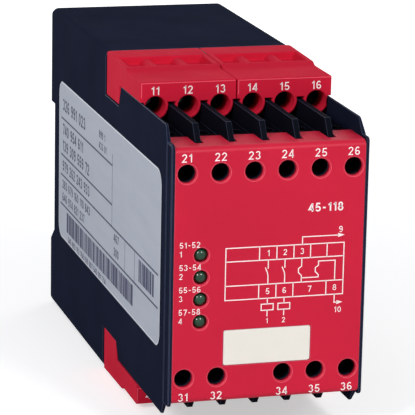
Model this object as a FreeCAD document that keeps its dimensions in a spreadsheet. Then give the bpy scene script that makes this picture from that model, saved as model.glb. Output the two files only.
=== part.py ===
import FreeCAD, Part
import os
import Sketcher

# DIN-rail safety relay, 45 mm module. Millimetres, +Z up, the front faces -Y and the rail side +Y.
# The origin is the middle of the bottom of the whole unit, so it stands on the XY plane.
# "behind" is a distance back from the front face, "level" a height above or below mid-height.

os.makedirs("parts", exist_ok=True)
doc = FreeCAD.newDocument("SafetyRelay")

# ---------------------------------------------------------------- driving dimensions
SIZES = {
    # the whole unit
    "width": 45.0,
    "height": 77.0,
    "depth": 118.0,
    "fit_gap": 0.1,
    "easy_gap": 0.2,
    "root": 0.9,
    "board_thickness": 1.6,
    # housing case
    "side_wall": 1.0,
    "shell_wall": 1.8,
    "case_round": 1.8,
    "tall_part_behind": 59.0,
    "notch_behind": 46.0,
    "notch_drop": 10.4,
    "cheek_drop": 5.9,
    "cheek_nose": 3.4,
    "cheek_slope": 2.6,
    "cheek_round": 1.4,
    "cheek_lean": 0.5,
    "cheek_lean_drop": 4.0,
    "nose_drop": 3.3,
    "nose_round": 1.0,
    "nose_relief": 0.25,
    "front_edge_bevel": 0.2,
    "guide_rib": 0.9,
    "guide_rib_rise": 1.8,
    # rail seat at the back
    "rail_height": 35.0,
    "rail_lip": 1.3,
    "rail_top_level": 14.6,
    "rail_seat_depth": 5.4,
    "claw_width": 32.0,
    "claw_drop": 1.6,
    "claw_bevel": 0.8,
    "seat_bevel_rise": 4.3,
    # rail latch and its spring
    "latch_width": 12.0,
    "latch_flange": 1.5,
    "latch_flange_thickness": 1.6,
    "latch_bite": 1.3,
    "latch_slope": 2.8,
    "latch_travel": 2.5,
    "latch_foot_rise": 3.1,
    "latch_slot_rise": 2.0,
    "latch_slot_height": 2.0,
    "latch_slot_width": 6.0,
    "latch_box_width": 18.0,
    "latch_box_wall": 2.0,
    "tongue_width": 3.4,
    "tongue_thickness": 2.0,
    "tongue_drop": 3.6,
    "spring_well_depth": 3.5,
    "spring_floor": 4.5,
    "spring_mean_diameter": 2.5,
    "spring_wire": 0.45,
    "spring_turns": 6.0,
    # terminals
    "end_margin": 3.75,
    "front_screw_drop": 5.8,
    "rear_screw_drop": 6.7,
    "screw_head_diameter": 3.7,
    "screw_head_height": 1.8,
    "screw_diameter": 2.6,
    "screw_reach": 2.0,
    "driver_slot": 0.6,
    "driver_slot_depth": 0.9,
    "cage_width": 5.4,
    "cage_length": 8.0,
    "cage_height": 6.0,
    "cage_wall": 1.0,
    "wire_hole_diameter": 3.8,
    "contact_width": 3.0,
    "contact_thickness": 0.8,
    "contact_drop": 1.6,
    # front terminal carriers
    "carrier_behind": 10.8,
    "carrier_gap": 0.3,
    "carrier_height": 10.4,
    "front_cage_behind": 13.6,
    "fin_thickness": 1.3,
    "fin_drop": 0.4,
    "fin_foot_behind": 4.7,
    "fin_slope": 3.3,
    "fin_slope_drop": 4.4,
    "fin_rear_gap": 0.3,
    "front_tube_diameter": 5.6,
    # rear terminal blocks
    "block_behind": 27.3,
    "block_side_gap": 0.2,
    "block_step_behind": 39.4,
    "block_step_slope": 1.6,
    "block_front_drop": 1.1,
    "block_crown_drop": 0.4,
    "block_corner": 0.8,
    "rear_cage_behind": 39.9,
    "belly_wall": 1.2,
    "rear_tube_diameter": 6.0,
    "rear_hole_diameter": 4.6,
    "trough_behind": 41.8,
    "trough_length": 9.6,
    "trough_depth": 0.7,
    "funnel_width": 4.8,
    "funnel_depth": 1.2,
    "funnel_bevel": 0.7,
    # front cover
    "cover_lip": 0.6,
    "cover_face": 1.8,
    "cover_side": 1.4,
    "cover_depth": 10.5,
    "cover_round": 1.5,
    "front_hole_diameter": 4.1,
    "hole_bevel": 0.25,
    "fin_slot_width": 2.0,
    "fin_slot_behind": 3.8,
    "post_diameter": 2.4,
    "post_inset": 3.2,
    # display parts
    "led_diameter": 3.0,
    "led_length": 5.2,
    "led_flange": 0.4,
    "led_flange_height": 0.9,
    "led_leg": 0.5,
    "led_leg_spacing": 1.27,
    "led_sidestep": 15.25,
    "led_level": 4.75,
    "led_pitch": 5.0,
    "display_behind": 7.0,
    "display_margin": 3.3,
    "tag_width": 19.8,
    "tag_height": 7.9,
    "tag_thickness": 0.5,
    "tag_recess": 0.6,
    "tag_level": 16.45,
    # rating label on the left cheek
    "label_behind": 7.2,
    "label_rear_margin": 10.4,
    "label_top_level": 22.0,
    "label_height": 40.0,
    "label_corner": 3.5,
    "label_recess": 0.2,
    "label_thickness": 0.15,
    # boards and what they carry
    "terminal_board_behind": 50.0,
    "terminal_board_margin": 0.9,
    "side_board_wall_gap": 2.0,
    "side_board_rear_gap": 2.2,
    "ribbon_width": 12.7,
    "ribbon_thickness": 0.9,
    "transformer_inset": 1.6,
    "transformer_length": 31.0,
    "transformer_height": 26.0,
    "transformer_headroom": 3.7,
    "transformer_limb": 5.0,
    "coil_overhang": 3.5,
    "coil_relay_gap": 1.6,
    "relay_inset": 1.0,
    "relay_length": 38.0,
    "relay_height": 15.0,
    "relay_thickness": 12.6,
    "relay_level": 16.0,
    "relay_pin": 0.8,
    "relay_pin_inset": 2.4,
    "relay_standoff": 0.6,
    "capacitor_diameter": 10.0,
    "capacitor_length": 16.0,
    "capacitor_rim": 0.8,
    "capacitor_inset": 7.0,
    "capacitor_level": 20.0,
    "capacitor_spacing": 12.0,
    "fuse_diameter": 5.2,
    "fuse_length": 20.0,
    "fuse_cap": 5.0,
    "fuse_tube_diameter": 4.7,
    "fuse_clip": 0.5,
    "fuse_clip_inset": 0.5,
    "fuse_inset": 2.6,
    "fuse_level": 7.0,
    "fuse_rise": 4.6,
}

sheet = doc.addObject("Spreadsheet::Sheet", "Sizes")
for row, (alias, number) in enumerate(SIZES.items(), 1):
    sheet.set("A%d" % row, alias)
    sheet.set("B%d" % row, str(number))
    sheet.setAlias("B%d" % row, alias)
doc.recompute()


class Size:
    """A length: its value now, and the formula of sheet cells that it comes from."""

    def __init__(self, value, formula):
        self.value = float(value)
        self.formula = formula

    @staticmethod
    def of(thing):
        return thing if isinstance(thing, Size) else Size(thing, "%.6f" % thing)

    def join(self, other, sign, value):
        return Size(value, "(%s %s %s)" % (self.formula, sign, Size.of(other).formula))

    def __add__(self, other):
        return self.join(other, "+", self.value + Size.of(other).value)

    def __sub__(self, other):
        return self.join(other, "-", self.value - Size.of(other).value)

    def __mul__(self, other):
        return self.join(other, "*", self.value * Size.of(other).value)

    def __truediv__(self, other):
        return self.join(other, "/", self.value / Size.of(other).value)

    def __neg__(self):
        return self * -1

    __radd__ = __add__
    __rmul__ = __mul__


class Cells:
    """The sheet's cells by name: cells.width is the Size of the cell called width."""

    def __getattr__(self, alias):
        return Size(sheet.get(alias), "Sizes." + alias)


c = Cells()
NIL = c.width * 0
half_width = c.width / 2
front = -c.depth / 2
back = c.depth / 2
middle = c.height / 2
inner_side = half_width - c.side_wall
fitted_side = inner_side - c.fit_gap


def behind(distance):
    """The Y of a place that lies a distance behind the front face."""
    return front + distance


def level(rise):
    """The Z of a place that lies a rise above mid-height, or below it if negative."""
    return middle + rise


# ---------------------------------------------------------------- how pieces are made
# A sketch on XY has u = X and v = Y, on XZ u = X and v = Z, on YZ u = Y and v = Z.
# FreeCAD's XZ plane faces -Y, so depths along it run the other way.
FACING = {"XY_Plane": 1, "XZ_Plane": -1, "YZ_Plane": 1}


def box(low_u, high_u, low_v, high_v):
    """The four corners of a rectangle."""
    return [(low_u, low_v), (high_u, low_v), (high_u, high_v), (low_u, high_v)]


def ring(u, v, diameter):
    """A circle, told from an outline by being a dictionary."""
    return {"u": Size.of(u), "v": Size.of(v), "radius": Size.of(diameter) / 2}


class Piece:
    """One PartDesign body, built up from pads and pockets of fully dimensioned sketches."""

    all = []

    def __init__(self, label):
        self.body = doc.addObject("PartDesign::Body", label)
        self.body.Label = label
        self.body.AllowCompound = True
        self.last = None
        Piece.all.append(self.body)

    def sketch(self, plane, shapes, at):
        sketch = self.body.newObject("Sketcher::SketchObject", self.body.Name + "_sketch")
        support = [f for f in self.body.Origin.OriginFeatures if f.Role == plane][0]
        sketch.AttachmentSupport = [(support, "")]
        sketch.MapMode = "FlatFace"
        sketch.setExpression("AttachmentOffset.Base.z", (Size.of(at) * FACING[plane]).formula)
        for shape in shapes:
            if isinstance(shape, dict):
                self.draw_circle(sketch, shape)
            else:
                self.draw_outline(sketch, [(Size.of(u), Size.of(v)) for u, v in shape])
        return sketch

    @staticmethod
    def pin(sketch, geometry, point, u, v):
        """Holds a point of the sketch at u, v by two dimensions tied to the sheet."""
        for kind, size in (("DistanceX", u), ("DistanceY", v)):
            index = sketch.addConstraint(
                Sketcher.Constraint(kind, -1, 1, geometry, point, size.value)
            )
            sketch.setExpression("Constraints[%d]" % index, size.formula)

    @staticmethod
    def draw_outline(sketch, corners):
        first = sketch.GeometryCount
        count = len(corners)
        places = [FreeCAD.Vector(u.value, v.value, 0) for u, v in corners]
        for i in range(count):
            sketch.addGeometry(Part.LineSegment(places[i], places[(i + 1) % count]), False)
        for i in range(count):
            after = first + (i + 1) % count
            sketch.addConstraint(Sketcher.Constraint("Coincident", first + i, 2, after, 1))
        for i, (u, v) in enumerate(corners):
            Piece.pin(sketch, first + i, 1, u, v)

    @staticmethod
    def draw_circle(sketch, shape):
        centre = FreeCAD.Vector(shape["u"].value, shape["v"].value, 0)
        radius = shape["radius"]
        up = FreeCAD.Vector(0, 0, 1)
        index = sketch.addGeometry(Part.Circle(centre, up, radius.value), False)
        rule = sketch.addConstraint(Sketcher.Constraint("Radius", index, radius.value))
        sketch.setExpression("Constraints[%d]" % rule, radius.formula)
        Piece.pin(sketch, index, 3, shape["u"], shape["v"])

    def extrude(self, kind, plane, shapes, low, high, backwards):
        sketch = self.sketch(plane, shapes, low)
        self.last = self.body.newObject("PartDesign::" + kind, self.body.Name + "_" + kind)
        self.last.Profile = sketch
        self.last.setExpression("Length", (Size.of(high) - low).formula)
        self.last.Reversed = backwards
        return self

    def pad(self, plane, shapes, low, high):
        """Adds the shapes as a solid from low to high along the plane's world axis."""
        return self.extrude("Pad", plane, shapes, low, high, plane == "XZ_Plane")

    def pocket(self, plane, shapes, low, high):
        """Cuts the shapes away from low to high along the plane's world axis."""
        return self.extrude("Pocket", plane, shapes, low, high, plane != "XZ_Plane")

    def dress(self, kind, size, wanted):
        """Rounds or bevels the edges whose bounding box the wanted test accepts."""
        doc.recompute()
        edges = [
            "Edge%d" % (i + 1)
            for i, edge in enumerate(self.last.Shape.Edges)
            if wanted(edge.BoundBox)
        ]
        feature = self.body.newObject("PartDesign::" + kind, self.body.Name + "_" + kind)
        feature.Base = (self.last, edges)
        feature.setExpression("Radius" if kind == "Fillet" else "Size", size.formula)
        self.last = feature
        return self

    def fillet(self, size, wanted):
        return self.dress("Fillet", size, wanted)

    def chamfer(self, size, wanted):
        return self.dress("Chamfer", size, wanted)


def near(value, size):
    return abs(value - size.value) < 1e-4


def flat(box_low, box_high, size):
    """True where a bounding box has no thickness on an axis and lies at the size."""
    return near(box_low, size) and near(box_high, size)


def mirrored(source, label, across):
    """A piece that is the mirror image of another, up-down or left-right."""
    twin = doc.addObject("Part::Mirroring", label)
    twin.Label = label
    twin.Source = source
    if across == "mid_height":
        twin.Normal = FreeCAD.Vector(0, 0, 1)
        twin.setExpression("Base.z", middle.formula)
    else:
        twin.Normal = FreeCAD.Vector(1, 0, 0)
    Piece.all.append(twin)
    return twin


POSITIONS = 6
pitch = (c.width - c.end_margin * 2) / (POSITIONS - 1)


def terminal_x(position):
    """X of a terminal, 0 to 5 from left to right."""
    return pitch * (position - (POSITIONS - 1) / 2)


ALL_TERMINALS = [terminal_x(i) for i in range(POSITIONS)]
# the third place of the lower front row is left empty
LOWER_FRONT_TERMINALS = [terminal_x(i) for i in range(POSITIONS) if i != 2]
FINS = [pitch * (i - 2) for i in range(POSITIONS - 1)]


# ---------------------------------------------------------------- levels of the stepped shape
notch_level = middle - c.notch_drop
cheek_level = middle - c.cheek_drop
nose_level = cheek_level - c.nose_drop
cover_level = nose_level - c.cover_lip
carrier_level = notch_level - c.carrier_gap
fin_level = cheek_level - c.fin_drop
front_screw_level = cover_level - c.front_screw_drop
rear_screw_level = middle - c.rear_screw_drop
display_level = front_screw_level - c.display_margin
terminal_board_level = notch_level - c.terminal_board_margin

# ---------------------------------------------------------------- housing case
seat_y = back - c.rail_seat_depth
rail_top = level(c.rail_top_level)
rail_bottom = rail_top - c.rail_height
inner_back = back - c.shell_wall
inner_seat = seat_y - c.shell_wall
seat_bevel_top = rail_bottom + c.seat_bevel_rise / 2
seat_bevel_foot = seat_bevel_top - c.seat_bevel_rise


def half_profile(sign):
    """The stepped side outline from the front edge to the back, above or below mid-height."""
    return [
        (behind(NIL), level(nose_level * sign)),
        (behind(c.cheek_nose), level(nose_level * sign)),
        (behind(c.cheek_nose + c.cheek_slope), level(cheek_level * sign)),
        (behind(c.notch_behind), level(cheek_level * sign)),
        (behind(c.notch_behind), level(notch_level * sign)),
        (behind(c.tall_part_behind), level(notch_level * sign)),
        (behind(c.tall_part_behind), level(middle * sign)),
        (back, level(middle * sign)),
    ]


def crest_edge(distance, rise):
    """A test for the edges across the width at a distance behind, above and below."""

    def wanted(b):
        at_rise = flat(b.ZMin, b.ZMax, level(rise)) or flat(b.ZMin, b.ZMax, level(-rise))
        return flat(b.YMin, b.YMax, behind(distance)) and at_rise

    return wanted


def make_case():
    case = Piece("housing_case")
    outline = half_profile(1) + half_profile(-1)[::-1]
    case.pad("YZ_Plane", [outline], -half_width, half_width)
    beyond = c.shell_wall
    seat = [
        (seat_y, rail_top),
        (back + beyond, rail_top),
        (back + beyond, seat_bevel_foot),
        (back, seat_bevel_foot),
        (seat_y, seat_bevel_top),
    ]
    case.pocket("YZ_Plane", [seat], -half_width, half_width)

    def outer_edge(b):
        along_depth = near(b.YMax, back) and near(b.YMin, behind(c.tall_part_behind))
        at_back = flat(b.YMin, b.YMax, back)
        side = flat(b.XMin, b.XMax, half_width) or flat(b.XMin, b.XMax, -half_width)
        cap = flat(b.ZMin, b.ZMax, NIL) or flat(b.ZMin, b.ZMax, c.height)
        return (along_depth and side and cap) or (at_back and (side or cap))

    case.fillet(c.case_round, outer_edge)
    case.fillet(c.cheek_round, crest_edge(c.cheek_nose + c.cheek_slope, cheek_level))
    case.fillet(c.nose_round, crest_edge(NIL, nose_level))
    relief = box(front - beyond, behind(c.cheek_nose), level(-nose_level), level(nose_level))
    case.pocket("YZ_Plane", [relief], -half_width, c.nose_relief - half_width)
    case.pocket("YZ_Plane", [relief], half_width - c.nose_relief, half_width)
    case.pocket("XZ_Plane", cheek_leans(), behind(-beyond), behind(c.notch_behind))
    roof = c.height - c.shell_wall
    floor = NIL + c.shell_wall
    seat_roof = rail_top + c.shell_wall
    seat_floor = seat_bevel_foot - c.shell_wall
    hollow = [
        (behind(-beyond), -beyond),
        (behind(c.tall_part_behind), -beyond),
        (behind(c.tall_part_behind), floor),
        (inner_back, floor),
        (inner_back, seat_floor),
        (inner_seat, seat_floor),
        (inner_seat, seat_roof),
        (inner_back, seat_roof),
        (inner_back, roof),
        (behind(c.tall_part_behind), roof),
        (behind(c.tall_part_behind), c.height + beyond),
        (behind(-beyond), c.height + beyond),
    ]
    case.pocket("YZ_Plane", [hollow], -inner_side, inner_side)
    make_board_guides(case, floor, roof)
    make_rail_claw(case)
    make_latch_box(case)
    label = label_outline()
    case.pocket("YZ_Plane", [label], -half_width, c.label_recess - half_width)
    case.fillet(c.label_corner, is_label_corner)

    nose_side = half_width - c.nose_relief

    def front_edge(b):
        side = flat(b.XMin, b.XMax, nose_side) or flat(b.XMin, b.XMax, -nose_side)
        return side and flat(b.YMin, b.YMax, front)

    case.chamfer(c.front_edge_bevel, front_edge)


def cheek_leans():
    """The slivers cut off outside the four cheek crests, which lean inwards."""
    foot = cheek_level - c.cheek_lean_drop
    above = cheek_level + c.root
    outside = half_width + c.root
    crest = half_width - c.cheek_lean
    return [
        [
            (outside * side, level(foot * sign)),
            (half_width * side, level(foot * sign)),
            (crest * side, level(cheek_level * sign)),
            (crest * side, level(above * sign)),
            (outside * side, level(above * sign)),
        ]
        for side in (-1, 1)
        for sign in (-1, 1)
    ]


side_board_face = inner_side - c.side_board_wall_gap
side_board_back = side_board_face - c.board_thickness
side_board_start = behind(c.terminal_board_behind) + c.board_thickness
side_board_end = inner_seat - c.side_board_rear_gap


def make_board_guides(case, floor, roof):
    """Pairs of ribs on the roof and floor that hold the edges of the two side boards."""
    ribs = []
    for sign in (-1, 1):
        outer = side_board_face + c.fit_gap
        inner = side_board_back - c.fit_gap
        for near_x, far_x in ((outer, outer + c.guide_rib), (inner - c.guide_rib, inner)):
            edges = sorted((near_x * sign, far_x * sign), key=lambda size: size.value)
            ribs.append(box(edges[0], edges[1], behind(c.tall_part_behind), side_board_end))
    case.pad("XY_Plane", ribs, floor, floor + c.guide_rib_rise)
    case.pad("XY_Plane", ribs, roof - c.guide_rib_rise, roof)


def make_rail_claw(case):
    """The fixed claw that reaches down behind the rail's upper lip."""
    tip = rail_top - c.claw_drop
    claw = [
        (seat_y + c.rail_lip, tip),
        (back - c.claw_bevel, tip),
        (back, tip + c.claw_bevel),
        (back, rail_top + c.root),
        (seat_y + c.rail_lip, rail_top + c.root),
    ]
    case.pad("YZ_Plane", [claw], -c.claw_width / 2, c.claw_width / 2)


latch_front = seat_y + c.rail_lip
latch_flange_back = latch_front + c.latch_flange_thickness
well_front = latch_front - c.spring_well_depth
tongue_top = rail_bottom - c.tongue_drop
tongue_bottom = tongue_top - c.tongue_thickness
well_floor = NIL + c.spring_floor


def make_latch_box(case):
    """The thick place in the back wall with the latch's T slot and the spring's well."""
    half_box = c.latch_box_width / 2
    solid = [
        (well_front - c.latch_box_wall, NIL + c.root),
        (back, c.case_round),
        (back, seat_bevel_foot),
        (seat_y, seat_bevel_top),
        (well_front - c.latch_box_wall, seat_bevel_top),
    ]
    case.pad("YZ_Plane", [solid], -half_box, half_box)
    gap = c.fit_gap
    half_throat = c.latch_width / 2 + gap
    half_slot = half_throat + c.latch_flange
    beyond = c.shell_wall
    case.pocket(
        "XY_Plane",
        [box(-half_slot, half_slot, latch_front - gap, latch_flange_back + gap)],
        -beyond,
        seat_bevel_top + beyond,
    )
    case.pocket(
        "XY_Plane",
        [box(-half_throat, half_throat, latch_flange_back, back + beyond)],
        -beyond,
        seat_bevel_top + beyond,
    )
    half_well = c.tongue_width / 2 + gap
    case.pocket(
        "XY_Plane",
        [box(-half_well, half_well, well_front, latch_front)],
        well_floor,
        tongue_top + gap,
    )


label_start = behind(c.label_behind)
label_end = back - c.label_rear_margin
label_top = level(c.label_top_level)
label_bottom = label_top - c.label_height


def label_outline():
    return box(label_start, label_end, label_bottom, label_top)


def is_label_corner(b):
    """True for the four short edges, across the thickness, at the label's corners."""
    at_end = any(flat(b.YMin, b.YMax, y) for y in (label_start, label_end))
    at_rim = any(flat(b.ZMin, b.ZMax, z) for z in (label_bottom, label_top))
    return at_end and at_rim


def make_label():
    floor = c.label_recess - half_width
    label = Piece("rating_label")
    label.pad("YZ_Plane", [label_outline()], floor - c.label_thickness, floor)
    label.fillet(c.label_corner, is_label_corner)


# ---------------------------------------------------------------- front cover and display
cover_side_x = fitted_side
cover_back = behind(c.cover_depth)


def make_cover():
    cover = Piece("front_cover")
    top = level(cover_level)
    bottom = level(-cover_level)
    cover.pad("XZ_Plane", [box(-cover_side_x, cover_side_x, bottom, top)], front, cover_back)

    def long_front_edge(b):
        cap = flat(b.ZMin, b.ZMax, top) or flat(b.ZMin, b.ZMax, bottom)
        return flat(b.YMin, b.YMax, front) and cap

    cover.fillet(c.cover_round, long_front_edge)
    inside = box(
        -cover_side_x + c.cover_side,
        cover_side_x - c.cover_side,
        bottom + c.cover_side,
        top - c.cover_side,
    )
    cover.pocket("XZ_Plane", [inside], behind(c.cover_face), cover_back)
    upper = [(x, level(front_screw_level)) for x in ALL_TERMINALS]
    lower = [(x, level(-front_screw_level)) for x in LOWER_FRONT_TERMINALS]
    posts = [
        ring(x * sign_x, level(z * sign_z), c.post_diameter)
        for x in [cover_side_x - c.cover_side - c.post_inset]
        for z in [display_level - c.post_inset]
        for sign_x in (-1, 1)
        for sign_z in (-1, 1)
    ]
    cover.pad("XZ_Plane", posts, behind(c.root), behind(c.display_behind))
    holes = [ring(x, z, c.front_hole_diameter) for x, z in upper + lower]
    holes += [ring(x, z, c.led_diameter + c.fit_gap * 2) for x, z in led_places()]
    cover.pocket("XZ_Plane", holes, front, cover_back)
    half_slot = c.fin_slot_width / 2
    slots = [
        box(x - half_slot, x + half_slot, behind(c.fin_slot_behind), cover_back) for x in FINS
    ]
    cover.pocket("XY_Plane", slots, top - c.cover_side, top)
    cover.pocket("XY_Plane", slots, bottom, bottom + c.cover_side)
    cover.pocket("XZ_Plane", [tag_outline(c.fit_gap)], front, behind(c.tag_recess))

    def mouth(b):
        across = b.XMax - b.XMin
        round_hole = abs(across - (b.ZMax - b.ZMin)) < 1e-3 and across > 1
        return round_hole and flat(b.YMin, b.YMax, front)

    cover.chamfer(c.hole_bevel, mouth)


def led_places():
    return [(-c.led_sidestep, level(c.led_level - c.led_pitch * i)) for i in range(4)]


def tag_outline(gap):
    half = c.tag_width / 2 + gap
    rise = c.tag_height / 2 + gap
    centre = level(-c.tag_level)
    return box(-half, half, centre - rise, centre + rise)


def make_marker_tag():
    tag = Piece("marker_tag")
    floor = behind(c.tag_recess)
    tag.pad("XZ_Plane", [tag_outline(NIL)], floor - c.tag_thickness, floor)

    def corner(b):
        return near(b.YMax - b.YMin, c.tag_thickness)

    tag.fillet(c.tag_thickness, corner)


def make_leds():
    for number, (x, z) in enumerate(led_places(), 1):
        led = Piece("led_%d" % number)
        base = behind(c.led_length)
        led.pad("XZ_Plane", [ring(x, z, c.led_diameter)], front, base)

        def nose(b):
            return flat(b.YMin, b.YMax, front)

        led.fillet(c.led_diameter / 2 - c.fit_gap, nose)
        flange = ring(x, z, c.led_diameter + c.led_flange * 2)
        led.pad("XZ_Plane", [flange], base - c.led_flange_height, base)
        leg = c.led_leg / 2
        legs = [
            box(x + c.led_leg_spacing * sign - leg, x + c.led_leg_spacing * sign + leg,
                z - leg, z + leg)
            for sign in (-1, 1)
        ]
        led.pad("XZ_Plane", legs, base, behind(c.display_behind))


def make_display_board():
    board = Piece("display_board")
    half = cover_side_x - c.cover_side - c.easy_gap
    rise = display_level
    start = behind(c.display_behind)
    outline = box(-half, half, level(-rise), level(rise))
    board.pad("XZ_Plane", [outline], start, start + c.board_thickness)


# ---------------------------------------------------------------- front terminal carriers
# the rear blocks' cage bays start here, so the carriers' fins end just in front
belly_behind = c.rear_cage_behind - c.belly_wall


def make_front_carrier(label, sign, terminals):
    """Black carrier with the partition fins, for the row above (1) or below (-1)."""
    carrier = Piece(label)

    def span(low, high):
        """Two levels as low and high Z, turned over for the lower row."""
        ends = (level(low * sign), level(high * sign))
        return ends if sign > 0 else ends[::-1]

    deep = carrier_level - c.carrier_height
    low, high = span(deep, carrier_level)
    carrier_start = behind(c.carrier_behind)
    rear = behind(c.notch_behind) - c.easy_gap
    outline = box(-fitted_side, fitted_side, carrier_start, rear)
    carrier.pad("XY_Plane", [outline], low, high)
    screw_z = level(front_screw_level * sign)
    tube_start = behind(c.cover_face) + c.fit_gap
    tubes = [ring(x, screw_z, c.front_tube_diameter) for x in terminals]
    carrier.pad("XZ_Plane", tubes, tube_start, carrier_start)
    wall = cover_side_x - c.cover_side - c.fit_gap
    tube_low = screw_z - c.front_tube_diameter / 2
    tube_high = screw_z + c.front_tube_diameter / 2
    ends = [
        box(-half_width, -wall, tube_low, tube_high),
        box(wall, half_width, tube_low, tube_high),
    ]
    carrier.pocket("XZ_Plane", ends, tube_start, carrier_start)
    foot = cover_level - c.cover_side
    crest = c.fin_foot_behind + c.fin_slope
    fin_rear = behind(belly_behind) - c.fin_rear_gap
    fin = [
        (behind(c.fin_foot_behind), level(foot * sign)),
        (behind(c.fin_foot_behind), level((fin_level - c.fin_slope_drop) * sign)),
        (behind(crest), level(fin_level * sign)),
        (fin_rear, level(fin_level * sign)),
        (fin_rear, level(foot * sign)),
    ]
    for x in FINS:
        carrier.pad("YZ_Plane", [fin], x - c.fin_thickness / 2, x + c.fin_thickness / 2)
    bay_half = c.cage_width / 2 + c.fit_gap
    bay_start = behind(c.front_cage_behind) - c.fit_gap
    bay_end = bay_start + c.cage_length + c.fit_gap * 2
    bays = [box(x - bay_half, x + bay_half, bay_start, bay_end) for x in ALL_TERMINALS]
    bay_roof = front_screw_level + c.cage_height / 2 + c.fit_gap
    low, high = span(deep, bay_roof)
    carrier.pocket("XY_Plane", bays, low, high)
    wire_y = bay_start + c.fit_gap + c.cage_length / 2
    low, high = span(bay_roof, carrier_level)
    wires = [ring(x, wire_y, c.wire_hole_diameter) for x in terminals]
    carrier.pocket("XY_Plane", wires, low, high)
    bores = [ring(x, screw_z, c.front_hole_diameter) for x in terminals]
    carrier.pocket("XZ_Plane", bores, tube_start, bay_start)


# ---------------------------------------------------------------- rear terminal blocks
def make_rear_block():
    """Upper left three-pole block; the other three are its mirror images."""
    block = Piece("rear_block_upper_left")
    outer = -half_width + c.block_side_gap
    seam = -c.fit_gap
    top = c.height
    front_top = top - c.block_front_drop
    step = behind(c.block_step_behind)
    underside = level(cheek_level + c.block_side_gap)
    rear = behind(c.tall_part_behind) - c.fit_gap
    heel = behind(c.notch_behind + c.block_side_gap)
    heel_z = level(notch_level + c.block_side_gap)
    profile = [
        (behind(c.block_behind), underside),
        (behind(c.block_behind), front_top),
        (step, front_top),
        (step + c.block_step_slope, top - c.block_crown_drop),
        (rear, top),
        (rear, heel_z),
        (heel, heel_z),
        (heel, underside),
    ]
    block.pad("YZ_Plane", [profile], outer, seam)

    def outer_rear_edge(b):
        return flat(b.XMin, b.XMax, outer) and flat(b.YMin, b.YMax, rear)

    block.fillet(c.block_corner, outer_rear_edge)
    screw_z = level(rear_screw_level)
    terminals = ALL_TERMINALS[:3]
    tubes = [ring(x, screw_z, c.rear_tube_diameter) for x in terminals]
    block.pad("XZ_Plane", tubes, behind(c.block_behind), heel)
    belly = box(outer, seam, heel_z, underside)
    block.pad("XZ_Plane", [belly], behind(belly_behind), heel)
    trim = box(outer, -fitted_side, level(NIL), underside)
    block.pocket("XZ_Plane", [trim], behind(c.block_behind), heel)
    bay_half = c.cage_width / 2 + c.fit_gap
    bay_start = behind(c.rear_cage_behind) - c.fit_gap
    bay_end = bay_start + c.cage_length + c.fit_gap * 2
    bay_roof = screw_z + c.cage_height / 2 + c.fit_gap
    bays = [box(x - bay_half, x + bay_half, bay_start, bay_end) for x in terminals]
    block.pocket("XY_Plane", bays, level(NIL), bay_roof)
    holes = [ring(x, screw_z, c.rear_hole_diameter) for x in terminals]
    block.pocket("XZ_Plane", holes, behind(c.block_behind), bay_start)
    trough_end = behind(c.trough_behind + c.trough_length)
    half = c.funnel_width / 2
    trough = box(
        terminals[0] - half,
        terminals[-1] + half,
        behind(c.trough_behind),
        trough_end,
    )
    trough_floor = top - c.trough_depth
    block.pocket("XY_Plane", [trough], trough_floor, top)
    funnel_floor = trough_floor - c.funnel_depth
    funnels = [
        box(x - half, x + half, behind(c.trough_behind), trough_end) for x in terminals
    ]
    block.pocket("XY_Plane", funnels, funnel_floor, trough_floor)

    def rib_edge(b):
        at_floor = flat(b.ZMin, b.ZMax, trough_floor)
        return at_floor and near(b.YMax - b.YMin, c.trough_length)

    block.chamfer(c.funnel_bevel, rib_edge)
    wire_y = bay_start + c.fit_gap + c.cage_length / 2
    wires = [ring(x, wire_y, c.wire_hole_diameter) for x in terminals]
    block.pocket("XY_Plane", wires, bay_roof, funnel_floor)
    upper_right = mirrored(block.body, "rear_block_upper_right", "width")
    mirrored(block.body, "rear_block_lower_left", "mid_height")
    mirrored(upper_right, "rear_block_lower_right", "mid_height")


# ---------------------------------------------------------------- screws, cages, contact strips
def make_clamp_row(name, sign, cage_behind, screw_level, terminals, strip_level):
    """Screws, clamping cages and contact strips of one row of terminals."""
    z = level(screw_level * sign)
    cage_start = behind(cage_behind)
    cage_end = cage_start + c.cage_length
    cages = Piece("clamp_cages_" + name)
    half = c.cage_width / 2
    hole = half - c.cage_wall
    shapes = []
    for x in terminals:
        shapes.append(box(x - half, x + half, cage_start, cage_end))
        shapes.append(box(x - hole, x + hole, cage_start + c.cage_wall, cage_end - c.cage_wall))
    cages.pad("XY_Plane", shapes, z - c.cage_height / 2, z + c.cage_height / 2)
    threads = [ring(x, z, c.screw_diameter + c.fit_gap) for x in terminals]
    cages.pocket("XZ_Plane", threads, cage_start, cage_start + c.cage_wall)
    screws = Piece("terminal_screws_" + name)
    neck = cage_start - c.fit_gap
    head_front = neck - c.screw_head_height
    shank_end = cage_start + c.screw_reach
    heads = [ring(x, z, c.screw_head_diameter) for x in terminals]
    shanks = [ring(x, z, c.screw_diameter) for x in terminals]
    screws.pad("XZ_Plane", heads, head_front, neck)
    screws.pad("XZ_Plane", shanks, neck, shank_end)
    reach = c.screw_head_diameter / 2
    slots = [
        box(x - reach, x + reach, z - c.driver_slot / 2, z + c.driver_slot / 2)
        for x in terminals
    ]
    screws.pocket("XZ_Plane", slots, head_front, head_front + c.driver_slot_depth)
    strips = Piece("contact_strips_" + name)
    strip_back = cage_end - c.cage_wall
    strip_front = strip_back - c.contact_thickness
    strip_low = level(strip_level * sign)
    ledge = strip_low + c.contact_thickness * sign
    tip = z + c.cage_height / 2 * sign
    bend = [
        (strip_front, tip),
        (strip_back, tip),
        (strip_back, ledge),
        (behind(c.terminal_board_behind), ledge),
        (behind(c.terminal_board_behind), strip_low),
        (strip_front, strip_low),
    ]
    for x in terminals:
        strips.pad("YZ_Plane", [bend], x - c.contact_width / 2, x + c.contact_width / 2)


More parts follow.
